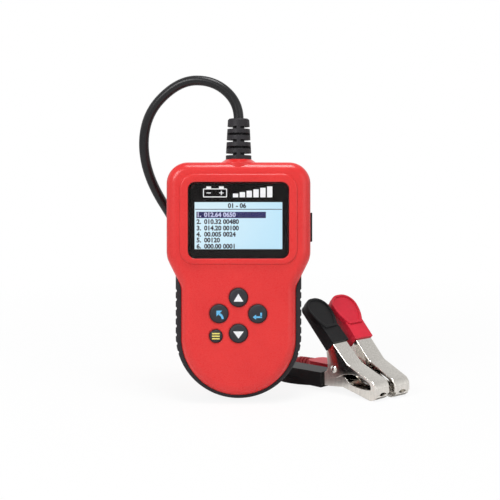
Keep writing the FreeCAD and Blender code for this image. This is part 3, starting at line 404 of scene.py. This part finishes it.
def lit(name, bright, dim, strength, start, end):
    """Lit display whose light falls off from one point of the tester's face to another."""
    material, tree, shader = new_material(name, Base_Color=(0.02, 0.02, 0.03, 1), Roughness=0.3)
    shader.inputs["Emission Strength"].default_value = strength
    place = add(tree, "ShaderNodeTexCoord").outputs["Object"]
    across = TESTER.to_3x3() @ Vector((end[0] - start[0], end[1] - start[1], 0)) * MM
    origin = TESTER @ Vector((start[0] * MM, start[1] * MM, 0))
    offset = add(tree, "ShaderNodeVectorMath", operation="SUBTRACT")
    offset.inputs[1].default_value = origin
    along = add(tree, "ShaderNodeVectorMath", operation="DOT_PRODUCT")
    along.inputs[1].default_value = across / across.length_squared
    bounded = add(tree, "ShaderNodeMapRange", interpolation_type="SMOOTHSTEP")
    link(
        tree, (place, offset.inputs[0]), (offset.outputs[0], along.inputs[0]),
        (along.outputs["Value"], bounded.inputs["Value"]),
        (blended(tree, bounded.outputs["Result"], bright, dim), shader.inputs["Emission Color"]),
    )
    return material


# Shading of the CAD nodes

def even_shading():
    """Modifier tree that joins loose triangles and shades them smooth between sharp edges."""
    tree = bpy.data.node_groups.new("even_shading", "GeometryNodeTree")
    for way in ("INPUT", "OUTPUT"):
        tree.interface.new_socket("Geometry", in_out=way, socket_type="NodeSocketGeometry")
    given, made = tree.nodes.new("NodeGroupInput"), tree.nodes.new("NodeGroupOutput")
    bare = add(tree, "GeometryNodeRemoveAttribute", {"Name": "custom_normal"})
    merged = add(tree, "GeometryNodeMergeByDistance", {"Distance": MERGE_DISTANCE})
    turn = add(tree, "GeometryNodeInputMeshEdgeAngle")
    gentle = add(tree, "FunctionNodeCompare", {1: SHARP_TURN}, operation="LESS_THAN")
    faces = add(tree, "GeometryNodeSetShadeSmooth", domain="FACE")
    edges = add(tree, "GeometryNodeSetShadeSmooth", domain="EDGE")
    link(
        tree, (given.outputs[0], bare.inputs["Geometry"]), (bare.outputs[0], merged.inputs["Geometry"]),
        (merged.outputs[0], faces.inputs[0]), (faces.outputs[0], edges.inputs[0]),
        (turn.outputs["Unsigned Angle"], gentle.inputs[0]),
        (gentle.outputs[0], edges.inputs["Shade Smooth"]),
        (edges.outputs[0], made.inputs[0]),
    )
    return tree


def dress(material, *names):
    """Gives CAD nodes their finish and an even shading."""
    tree = bpy.data.node_groups.get("even_shading") or even_shading()
    for name in names:
        node = NODES[name]
        node.data.materials.clear()
        node.data.materials.append(material)
        node.modifiers.new("even_shading", "NODES").node_group = tree


# Modelling

def clear_selection():
    bpy.ops.object.select_all(action="DESELECT")


def pick(piece, kind, wanted):
    """In edit mode, selects the vertices, edges or faces that pass a test."""
    bpy.ops.mesh.select_mode(type=kind)
    bpy.ops.mesh.select_all(action="DESELECT")
    mesh = bmesh.from_edit_mesh(piece.data)
    for part in {"VERT": mesh.verts, "EDGE": mesh.edges, "FACE": mesh.faces}[kind]:
        if wanted(part):
            part.select_set(True)
    mesh.select_flush_mode()
    bmesh.update_edit_mesh(piece.data)


def settle(piece, name, pose, material):
    """Puts a piece's place into its mesh and gives it its name and finish."""
    piece.name = piece.data.name = name
    piece.matrix_world = pose @ piece.matrix_world
    clear_selection()
    piece.select_set(True)
    bpy.context.view_layer.objects.active = piece
    bpy.ops.object.transform_apply(location=True, rotation=True, scale=True)
    piece.data.materials.clear()
    piece.data.materials.append(material)
    return piece


def join(pieces):
    """One piece from several."""
    clear_selection()
    for piece in pieces:
        piece.select_set(True)
    bpy.context.view_layer.objects.active = pieces[0]
    bpy.ops.object.join()
    return bpy.context.object


def raised(piece, low, high):
    """Makes a flat shape a solid between two heights."""
    bpy.ops.object.mode_set(mode="EDIT")
    bpy.ops.mesh.select_all(action="SELECT")
    bpy.ops.transform.translate(value=(0, 0, low))
    bpy.ops.mesh.extrude_region_move(TRANSFORM_OT_translate={"value": (0, 0, high - low)})
    bpy.ops.mesh.select_all(action="SELECT")
    bpy.ops.mesh.normals_make_consistent(inside=False)
    bpy.ops.object.mode_set(mode="OBJECT")
    return piece


def bar(left, low, right, top):
    """Flat rectangle from its corners, in millimetres."""
    clear_selection()
    bpy.ops.mesh.primitive_plane_add(size=1)
    piece = bpy.context.object
    piece.matrix_world = (
        Matrix.Translation(((left + right) / 2 * MM, (low + top) / 2 * MM, 0))
        @ Matrix.Diagonal(((right - left) * MM, (top - low) * MM, 1, 1))
    )
    bpy.ops.object.transform_apply(location=True, rotation=True, scale=True)
    return piece


def triangle(half_width, height, centre, turn, rounding):
    """Flat triangle with its corners rounded, in millimetres, pointing up before it is turned."""
    clear_selection()
    bpy.ops.mesh.primitive_circle_add(vertices=3, radius=1, fill_type="NGON")
    piece = bpy.context.object
    across, tall = math.sqrt(3) / 2, 1.5
    piece.matrix_world = (
        Matrix.Translation((centre[0] * MM, centre[1] * MM, 0))
        @ Matrix.Rotation(turn, 4, "Z")
        @ Matrix.Diagonal((half_width / across * MM, height / tall * MM, 1, 1))
        @ Matrix.Translation((0, -0.25, 0))
    )
    bpy.ops.object.transform_apply(location=True, rotation=True, scale=True)
    bpy.ops.object.mode_set(mode="EDIT")
    bpy.ops.mesh.select_all(action="SELECT")
    bpy.ops.mesh.bevel(offset=rounding * MM, segments=4, affect="VERTICES")
    bpy.ops.object.mode_set(mode="OBJECT")
    return piece


def ring(left, low, right, top, line, corner):
    """Flat outline of a rectangle with rounded corners, in millimetres."""
    piece = bar(left, low, right, top)
    bpy.ops.object.mode_set(mode="EDIT")
    bpy.ops.mesh.select_all(action="SELECT")
    bpy.ops.mesh.bevel(offset=corner * MM, segments=4, affect="VERTICES")
    bpy.ops.mesh.select_all(action="SELECT")
    bpy.ops.mesh.inset(thickness=line * MM)
    bpy.ops.mesh.delete(type="FACE")
    bpy.ops.object.mode_set(mode="OBJECT")
    return piece


def bow(centre, radius, line, start, sweep):
    """Flat band along part of a circle, in millimetres and degrees."""
    clear_selection()
    bpy.ops.mesh.primitive_plane_add(size=1)
    piece = bpy.context.object
    bpy.ops.object.mode_set(mode="EDIT")
    pick(piece, "VERT", lambda vert: vert.co.y > 0)
    bpy.ops.mesh.delete(type="VERT")
    bpy.ops.mesh.select_all(action="SELECT")
    bpy.ops.transform.resize(value=(line * MM, 1, 1), center_override=(0, -0.5, 0))
    bpy.ops.transform.translate(value=(radius * MM, 0.5, 0))
    bpy.ops.mesh.spin(steps=10, angle=-math.radians(sweep), center=(0, 0, 0), axis=(0, 0, 1))
    bpy.ops.object.mode_set(mode="OBJECT")
    piece.matrix_world = (
        Matrix.Translation((centre[0] * MM, centre[1] * MM, 0))
        @ Matrix.Rotation(math.radians(start), 4, "Z")
    )
    bpy.ops.object.transform_apply(location=True, rotation=True, scale=True)
    return piece


def digits(words, size, place, thickness):
    """Solid numbers on the tester's face, from the left end of their line."""
    clear_selection()
    bpy.ops.object.text_add()
    text = bpy.context.object
    text.data.body = words
    text.data.size = size
    text.data.extrude = thickness / 2
    text.data.offset = size * 0.042
    text.data.resolution_u = 3
    bpy.ops.object.convert(target="MESH")
    piece = bpy.context.object
    piece.data.materials.clear()
    piece.matrix_world = Matrix.Translation((place[0] * MM, place[1] * MM, place[2]))
    bpy.ops.object.transform_apply(location=True, rotation=True, scale=True)
    return piece


def cord_line(name, route, diameter, material, node):
    """Smooth cord along the points of its route."""
    curve = bpy.data.curves.new(name, "CURVE")
    curve.dimensions = "3D"
    line = curve.splines.new("NURBS")
    line.points.add(len(route) - 1)
    for point, place in zip(line.points, route):
        point.co = (*metres(place), 1)
    line.order_u = 3
    line.use_endpoint_u = True
    line.resolution_u = 16
    curve.bevel_depth = diameter / 2
    curve.bevel_resolution = 7
    curve.use_fill_caps = True
    curve.materials.append(material)
    cord = bpy.data.objects.new(name, curve)
    bpy.context.collection.objects.link(cord)
    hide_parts(node)
    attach(cord, "tester")
    return cord


def coil_spring(name, pose, sizes, material):
    """Torsion spring round a clamp's pivot: a wound wire with a straight leg at each end."""
    start, finish = math.radians(SPRING_START), math.radians(SPRING_END + SPRING_TURNS * 360)
    total = finish - start
    rise = sizes.spring_pitch * total / (2 * math.pi)
    clear_selection()
    bpy.ops.mesh.primitive_circle_add(vertices=14, radius=sizes.spring_wire / 2)
    piece = bpy.context.object
    piece.location.x = sizes.spring_radius
    bpy.ops.object.transform_apply(location=True)
    coil = piece.modifiers.new("coil", "SCREW")
    coil.axis = "Y"
    coil.angle = -total
    coil.screw_offset = rise
    coil.steps = coil.render_steps = 150
    bpy.ops.object.modifier_apply(modifier="coil")
    piece.matrix_world = Matrix.Translation((0, -rise / 2, 0)) @ Matrix.Rotation(-start, 4, "Y")
    bpy.ops.object.transform_apply(location=True, rotation=True)
    bpy.ops.object.mode_set(mode="EDIT")
    lean = sizes.spring_pitch / (2 * math.pi)
    for angle, side in ((start, -1), (finish, 1)):
        centre = Vector((
            sizes.spring_radius * math.cos(angle), side * rise / 2, sizes.spring_radius * math.sin(angle)
        ))
        way = Vector((
            -sizes.spring_radius * math.sin(angle), lean, sizes.spring_radius * math.cos(angle)
        )).normalized()
        reach = sizes.spring_wire * 0.52
        pick(piece, "EDGE", lambda edge: edge.is_boundary and all(
            (vert.co - centre).length < reach for vert in edge.verts
        ))
        bpy.ops.mesh.extrude_region_move(TRANSFORM_OT_translate={"value": way * side * sizes.spring_leg})
        bpy.ops.mesh.edge_face_add()
    bpy.ops.mesh.select_all(action="SELECT")
    bpy.ops.mesh.remove_doubles(threshold=0.000005)
    bpy.ops.mesh.normals_make_consistent(inside=False)
    bpy.ops.object.mode_set(mode="OBJECT")
    settle(piece, name, pose, material)
    bpy.ops.object.shade_smooth_by_angle(angle=math.radians(40))
    return piece


# Operators

class TESTER_OT_stage(bpy.types.Operator):
    """Sets the floor, the lights and the camera"""
    bl_idname = "tester.stage"
    bl_label = "Stage"

    def execute(self, context):
        studio = context.scene.tester_studio
        scene = context.scene
        scene.view_settings.view_transform = "Standard"
        self.lay_floor()
        self.light_room(scene, studio)
        aim = TESTER @ Vector((*metres(PICTURE_MIDDLE), 0))
        away = Vector((0, -math.cos(studio.elevation), math.sin(studio.elevation)))
        bpy.ops.object.camera_add(
            location=aim + away * studio.distance, rotation=(math.pi / 2 - studio.elevation, 0, 0)
        )
        camera = context.object
        camera.name = "studio_camera"
        camera.data.sensor_width = SENSOR_WIDTH
        camera.data.lens = SENSOR_WIDTH * studio.distance / studio.across
        scene.camera = camera
        return {"FINISHED"}

    def lay_floor(self):
        """Pale floor, seen white, that keeps some of the shadow near the tester."""
        clear_selection()
        bpy.ops.mesh.primitive_plane_add(size=30)
        floor = bpy.context.object
        floor.name = "studio_floor"
        material, tree, shader = new_material("pale_floor", Base_Color=(0.9, 0.9, 0.9, 1), Roughness=0.9)
        shader.inputs["Specular IOR Level"].default_value = 0.1
        glow = add(tree, "ShaderNodeEmission", {"Color": (1, 1, 1, 1), "Strength": 1.0})
        path = add(tree, "ShaderNodeLightPath")
        away = add(tree, "ShaderNodeVectorMath", {1: FLOOR_MIDDLE}, operation="DISTANCE")
        paler = add(
            tree, "ShaderNodeMapRange", {"From Min": 0.1, "From Max": 0.5, "To Min": 0.88, "To Max": 1.0}
        )
        seen = add(tree, "ShaderNodeMath", operation="MULTIPLY")
        mix = add(tree, "ShaderNodeMixShader")
        link(
            tree, (add(tree, "ShaderNodeTexCoord").outputs["Object"], away.inputs[0]),
            (away.outputs["Value"], paler.inputs["Value"]), (path.outputs["Is Camera Ray"], seen.inputs[0]),
            (paler.outputs["Result"], seen.inputs[1]), (seen.outputs["Value"], mix.inputs[0]),
            (shader.outputs[0], mix.inputs[1]), (glow.outputs[0], mix.inputs[2]),
            (mix.outputs[0], tree.nodes["Material Output"].inputs["Surface"]),
        )
        floor.data.materials.append(material)

    def light_room(self, scene, studio):
        """White room, dimmer overhead in reflections, and three soft lamps."""
        world = bpy.data.worlds.new("white_room")
        scene.world = world
        world.use_nodes = True
        tree = world.node_tree
        room = tree.nodes["Background"]
        room.inputs["Color"].default_value = (1, 1, 1, 1)
        room.inputs["Strength"].default_value = studio.ambient
        backdrop = add(tree, "ShaderNodeBackground", {"Color": (1, 1, 1, 1)})
        height = add(tree, "ShaderNodeSeparateXYZ")
        overhead = add(
            tree, "ShaderNodeMapRange", {"From Min": 0.1, "From Max": 0.9, "To Min": 1.0, "To Max": 0.6}
        )
        path = add(tree, "ShaderNodeLightPath")
        sight = add(tree, "ShaderNodeMath", operation="MAXIMUM")
        through = add(tree, "ShaderNodeMath", operation="MAXIMUM")
        mix = add(tree, "ShaderNodeMixShader")
        link(
            tree, (path.outputs["Is Camera Ray"], sight.inputs[0]),
            (path.outputs["Is Glossy Ray"], sight.inputs[1]), (sight.outputs["Value"], through.inputs[0]),
            (path.outputs["Is Transmission Ray"], through.inputs[1]),
            (through.outputs["Value"], mix.inputs[0]), (room.outputs[0], mix.inputs[1]),
            (add(tree, "ShaderNodeTexCoord").outputs["Generated"], height.inputs[0]),
            (height.outputs["Z"], overhead.inputs["Value"]),
            (overhead.outputs["Result"], backdrop.inputs["Strength"]), (backdrop.outputs[0], mix.inputs[2]),
            (mix.outputs[0], tree.nodes["World Output"].inputs["Surface"]),
        )
        lamps = (
            ("key_lamp", (-0.8, -1.0, 1.0), 9.0, 0.6),
            ("fill_lamp", (1.0, -0.9, 0.6), 2.0, 0.9),
            ("top_lamp", (0.1, -0.1, 1.3), 7.2, 0.4),
        )
        for name, place, power, size in lamps:
            turn = (LIT_MIDDLE - Vector(place)).to_track_quat("-Z", "Y").to_euler()
            bpy.ops.object.light_add(type="AREA", location=place, rotation=turn)
            lamp = bpy.context.object
            lamp.name = name
            lamp.data.energy = power * studio.lamps
            lamp.data.size = size


class TESTER_OT_housing(bpy.types.Operator):
    """Finishes the housing, its rubber and its fasteners"""
    bl_idname = "tester.housing"
    bl_label = "Housing"

    def execute(self, context):
        colours = context.scene.tester_colours
        # The paler edge colours below are partly wear and partly a painted highlight on the edges
        red = moulded(
            "red_housing_plastic", colours.housing, colours.housing_deep, (0.22, 0.34), relief=0.2,
            clouds=26, edge=0.5, wear_and_highlight=0.16, worn_and_highlit=shade(240, 120, 114), Specular_IOR_Level=0.5,
        )
        rubber = moulded(
            "bumper_rubber", colours.rubber, colours.rubber_deep, (0.5, 0.66), grain=1500, relief=0.25,
            clouds=45, edge=0.5, wear_and_highlight=0.3, worn_and_highlit=shade(104, 104, 110), dust=0.04, Specular_IOR_Level=0.25,
        )
        relief = moulded(
            "strain_relief_rubber", colours.rubber, colours.rubber_deep, (0.4, 0.55), grain=1800, relief=0.2,
            clouds=70, edge=0.4, wear_and_highlight=0.3, worn_and_highlit=shade(110, 110, 116), dust=0.03, Specular_IOR_Level=0.25,
        )
        zinc = plated("zinc_screws", (0.5, 0.5, 0.51), (0.36, 0.36, 0.37), (0.3, 0.48), edge=0.15)
        dress(red, "front_shell", "rear_shell")
        dress(rubber, "grip_bumper", "port_cover")
        dress(relief, "strain_relief")
        dress(zinc, "case_screws", "board_screws")
        return {"FINISHED"}


class TESTER_OT_display(bpy.types.Operator):
    """Finishes the window and lights the display behind it"""
    bl_idname = "tester.display"
    bl_label = "Display"

    def execute(self, context):
        colours, sizes = context.scene.tester_colours, context.scene.tester_sizes
        lens, tree, shader = new_material(
            "clear_window", Base_Color=(1, 1, 1, 1), Transmission_Weight=1.0, IOR=1.2
        )
        shader.inputs["Specular IOR Level"].default_value = 0.08
        film = use(tree, moulded_grain, Grain=900, Clouds=40)
        link(tree, (ranged(tree, film.outputs["Clouds"], 0.0, 0.008), shader.inputs["Roughness"]))
        border = moulded(
            "window_border_print", colours.border, darker(colours.border, 0.7), (0.35, 0.5),
            grain=6000, relief=0.04, clouds=200, edge=0.05, Specular_IOR_Level=0.1,
        )
        glow = lit(
            "lit_display", colours.display_light, colours.display_dim, DISPLAY_GLOW, *DISPLAY_CORNERS
        )
        tray = moulded("light_tray", shade(226, 227, 226), shade(212, 214, 213), (0.4, 0.55))
        dress(lens, "display_lens")
        dress(border, "lens_mask")
        dress(glow, "lcd_glass")
        dress(tray, "lcd_backlight")
        self.print_menu(colours, sizes)
        self.print_badge(colours, sizes)
        return {"FINISHED"}

    def print_menu(self, colours, sizes):
        """Plain numbers on the display, the first line chosen."""
        level = DISPLAY_FACE
        ink, chosen = printed("display_ink", colours.ink), printed("chosen_line", colours.chosen)
        pale = printed("display_pale_ink", colours.chosen_ink)
        rows = (
            ("1.", "012.64 0650", 143.9), ("2.", "010.32 00480", 138.4), ("3.", "014.20 00100", 133.3),
            ("4.", "00.005 0024", 128.4), ("5.", "00120", 123.8), ("6.", "000.00 0001", 118.9),
        )
        lines = []
        for number, reading, height in rows:
            lines.append([
                digits(number, sizes.digit, (-33.2, height, level + sizes.ink), sizes.ink),
                digits(reading, sizes.digit, (-27.2, height, level + sizes.ink), sizes.ink),
            ])
        title = digits("01 - 06", sizes.digit, (-8.4, 151.1, level + sizes.ink), sizes.ink)
        rule = raised(bar(-34.4, 149.6, 34.4, 150.2), level, level + sizes.ink)
        dark = join([title, rule] + [piece for line in lines[1:] for piece in line])
        strip = raised(bar(-33.3, 142.9, 21.7, 147.9), level, level + sizes.ink * 0.6)
        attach(settle(strip, "display_chosen_line", TESTER, chosen), "tester")
        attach(settle(dark, "display_numbers", TESTER, ink), "tester")
        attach(settle(join(lines[0]), "display_chosen_numbers", TESTER, pale), "tester")

    def print_badge(self, colours, sizes):
        """Plain battery sign and level bars above the display."""
        parts = [ring(-28.0, 159.2, -9.0, 166.2, 0.7, 0.8)]
        parts += [bar(-25.4, 166.2, -21.6, 167.9), bar(-15.4, 166.2, -11.6, 167.9)]
        parts += [bar(-25.2, 162.35, -21.8, 163.05), bar(-15.2, 162.35, -11.8, 163.05)]
        parts += [bar(-13.85, 161.0, -13.15, 164.4)]
        for step in range(6):
            left = -4.4 + step * 5.4
            parts.append(bar(left, 159.2, left + 4.2, 162.2 + step * 1.14))
        badge = raised(join(parts), LENS_FACE, LENS_FACE + sizes.ink)
        ink = printed("window_white_print", colours.white_mark, 0.4)
        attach(settle(badge, "window_battery_sign", TESTER, ink), "tester")


class TESTER_OT_keys(bpy.types.Operator):
    """Finishes the keys and puts their marks on them"""
    bl_idname = "tester.keys"
    bl_label = "Keys"

    def execute(self, context):
        colours = context.scene.tester_colours
        # The paler edge colour is partly wear and partly a painted highlight on the key edges
        rubber = moulded(
            "key_rubber", colours.key, darker(colours.key, 0.75), (0.4, 0.54), grain=2600,
            relief=0.16, clouds=160, edge=0.3, wear_and_highlight=0.35, worn_and_highlit=shade(120, 122, 130), dust=0.02,
            Specular_IOR_Level=0.25,
        )
        dress(rubber, *KEY_PLACES)
        white = printed("key_white_print", colours.white_mark)
        blue = printed("key_blue_print", colours.blue_mark)
        yellow = printed("key_yellow_print", colours.yellow_mark)
        marks = {
            "up_key": (white, [triangle(3.9, 6.3, (0, -0.1), 0, 0.35)]),
            "down_key": (white, [triangle(4.2, 5.7, (0, -1.2), math.pi, 0.35)]),
            "back_key": (blue, [
                triangle(3.2, 3.2, (-0.9, 1.3), math.radians(45), 0.25), bow((-1.4, -4.2), 4.3, 1.7, 0, 72),
            ]),
            "enter_key": (blue, [
                triangle(1.95, 2.7, (-2.6, -2.6), math.radians(90), 0.2), bar(-1.5, -3.3, 3.4, -1.9),
                bar(2.0, -2.6, 3.4, 0.9),
            ]),
            "function_key": (yellow, [bar(-3.0, step - 0.5, 3.0, step + 0.5) for step in (-2.0, 0, 2.0)]),
        }
        for name, (ink, parts) in marks.items():
            x, y = KEY_PLACES[name]
            mark = raised(join(parts), KEY_MARK_LOW, KEY_MARK_HIGH)
            place = TESTER @ Matrix.Translation((x * MM, y * MM, 0))
            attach(settle(mark, name + "_mark", place, ink), name)
        return {"FINISHED"}


class TESTER_OT_inside(bpy.types.Operator):
    """Finishes what is inside the housing"""
    bl_idname = "tester.inside"
    bl_label = "Inside"

    def execute(self, context):
        colours = context.scene.tester_colours
        board = moulded("green_board", (0.02, 0.15, 0.06), (0.015, 0.11, 0.045), (0.3, 0.4), clouds=300)
        chips = moulded("black_chips", shade(38, 38, 40), shade(28, 28, 30), (0.4, 0.5), clouds=400)
        terminals = moulded("green_terminals", (0.03, 0.28, 0.09), (0.025, 0.22, 0.07), (0.4, 0.5))
        tin = plated("tinned_socket", (0.62, 0.62, 0.61), (0.5, 0.5, 0.5), (0.25, 0.4), edge=0.1)
        wires = moulded("wire_covers", colours.red_lead, colours.cable, (0.4, 0.5), clouds=30)
        dress(board, "main_board")
        dress(chips, "board_chips", "key_switches")
        dress(terminals, "terminal_block")
        dress(tin, "usb_socket")
        dress(wires, "inner_wires")
        return {"FINISHED"}


class TESTER_OT_clamps(bpy.types.Operator):
    """Finishes the two clamps and winds their springs"""
    bl_idname = "tester.clamps"
    bl_label = "Clamps"

    def execute(self, context):
        colours, sizes = context.scene.tester_colours, context.scene.tester_sizes
        steel = plated(
            "plated_jaws", colours.steel, darker(colours.steel, 0.8), (0.06, 0.13), waves=34, relief=0.05,
            edge=0.5,
        )
        wire = plated("spring_wire", (0.42, 0.42, 0.43), (0.3, 0.3, 0.31), (0.25, 0.42), edge=0.1)
        # The paler edge colours of the handles are partly wear and partly a painted highlight
        grips = {
            "black": moulded(
                "black_grip", colours.black_grip, darker(colours.black_grip, 0.6), (0.36, 0.5),
                clouds=50, edge=0.6, wear_and_highlight=0.35, worn_and_highlit=shade(92, 92, 96), dust=0.01, Specular_IOR_Level=0.18,
            ),
            "red": moulded(
                "red_grip", colours.red_grip, darker(colours.red_grip, 0.8), (0.36, 0.5),
                clouds=50, edge=0.6, wear_and_highlight=0.3, worn_and_highlit=shade(244, 104, 118), dust=0.02, Specular_IOR_Level=0.3,
            ),
        }
        boots = {
            "black": moulded(
                "black_boot", colours.cable, shade(17, 17, 19), (0.5, 0.65), clouds=60, dust=0.03
            ),
            "red": moulded(
                "red_boot", colours.red_lead, shade(140, 14, 26), (0.5, 0.65), clouds=60, dust=0.04
            ),
        }
        for side, pose in CLAMPS.items():
            dress(steel, side + "_upper_jaw", side + "_lower_jaw", side + "_rivet")
            dress(grips[side], side + "_upper_handle", side + "_lower_handle")
            dress(boots[side], side + "_boot")
            spring = coil_spring(side + "_wound_spring", pose, sizes, wire)
            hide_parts(side + "_spring")
            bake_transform(spring)
        return {"FINISHED"}


class TESTER_OT_cords(bpy.types.Operator):
    """Lays the main cable, its splitter and the two leads"""
    bl_idname = "tester.cords"
    bl_label = "Cords"

    def execute(self, context):
        colours, sizes = context.scene.tester_colours, context.scene.tester_sizes
        sheath = moulded(
            "black_cable_sheath", colours.cable, shade(17, 17, 19), (0.24, 0.36), grain=1400, relief=0.06,
            clouds=90, edge=0.2, dust=0.02, Specular_IOR_Level=0.35,
        )
        red_sheath = moulded(
            "red_lead_sheath", colours.red_lead, shade(150, 16, 28), (0.32, 0.45), grain=1400, relief=0.08,
            clouds=90, edge=0.2, dust=0.05,
        )
        dress(sheath, "cable_splitter")
        cable = cord_line("black_main_cord", CABLE_ROUTE, sizes.cable, sheath, "main_cable")
        for side, slot, material in (("red", "red_rubber", red_sheath), ("black", "black_rubber", sheath)):
            route = LEAD_ROUTES[side]
            lead = cord_line(side + "_clamp_cord", route, sizes.lead, material, side + "_lead")
        return {"FINISHED"}


OPERATORS = (
    TESTER_OT_stage, TESTER_OT_housing, TESTER_OT_display, TESTER_OT_keys, TESTER_OT_inside,
    TESTER_OT_clamps, TESTER_OT_cords,
)


class TESTER_PT_panel(bpy.types.Panel):
    """Battery tester in the sidebar of the 3D view"""
    bl_idname = "TESTER_PT_panel"
    bl_label = "Battery Tester"
    bl_space_type = "VIEW_3D"
    bl_region_type = "UI"
    bl_category = "Battery Tester"

    def draw(self, context):
        for operator in OPERATORS:
            self.layout.operator(operator.bl_idname)
        for group in ("tester_colours", "tester_sizes", "tester_studio"):
            box = self.layout.box()
            settings = getattr(context.scene, group)
            for name in settings.__annotations__:
                box.prop(settings, name)


CLASSES = (TesterColours, TesterSizes, StudioSettings, *OPERATORS, TESTER_PT_panel)


def register():
    for part in CLASSES:
        bpy.utils.register_class(part)
    bpy.types.Scene.tester_colours = PointerProperty(type=TesterColours)
    bpy.types.Scene.tester_sizes = PointerProperty(type=TesterSizes)
    bpy.types.Scene.tester_studio = PointerProperty(type=StudioSettings)


def unregister():
    for group in ("tester_colours", "tester_sizes", "tester_studio"):
        delattr(bpy.types.Scene, group)
    for part in reversed(CLASSES):
        bpy.utils.unregister_class(part)


def main():
    register()
    for operator in OPERATORS:
        family, name = operator.bl_idname.split(".")
        getattr(getattr(bpy.ops, family), name)()


if __name__ == "__main__":
    main()
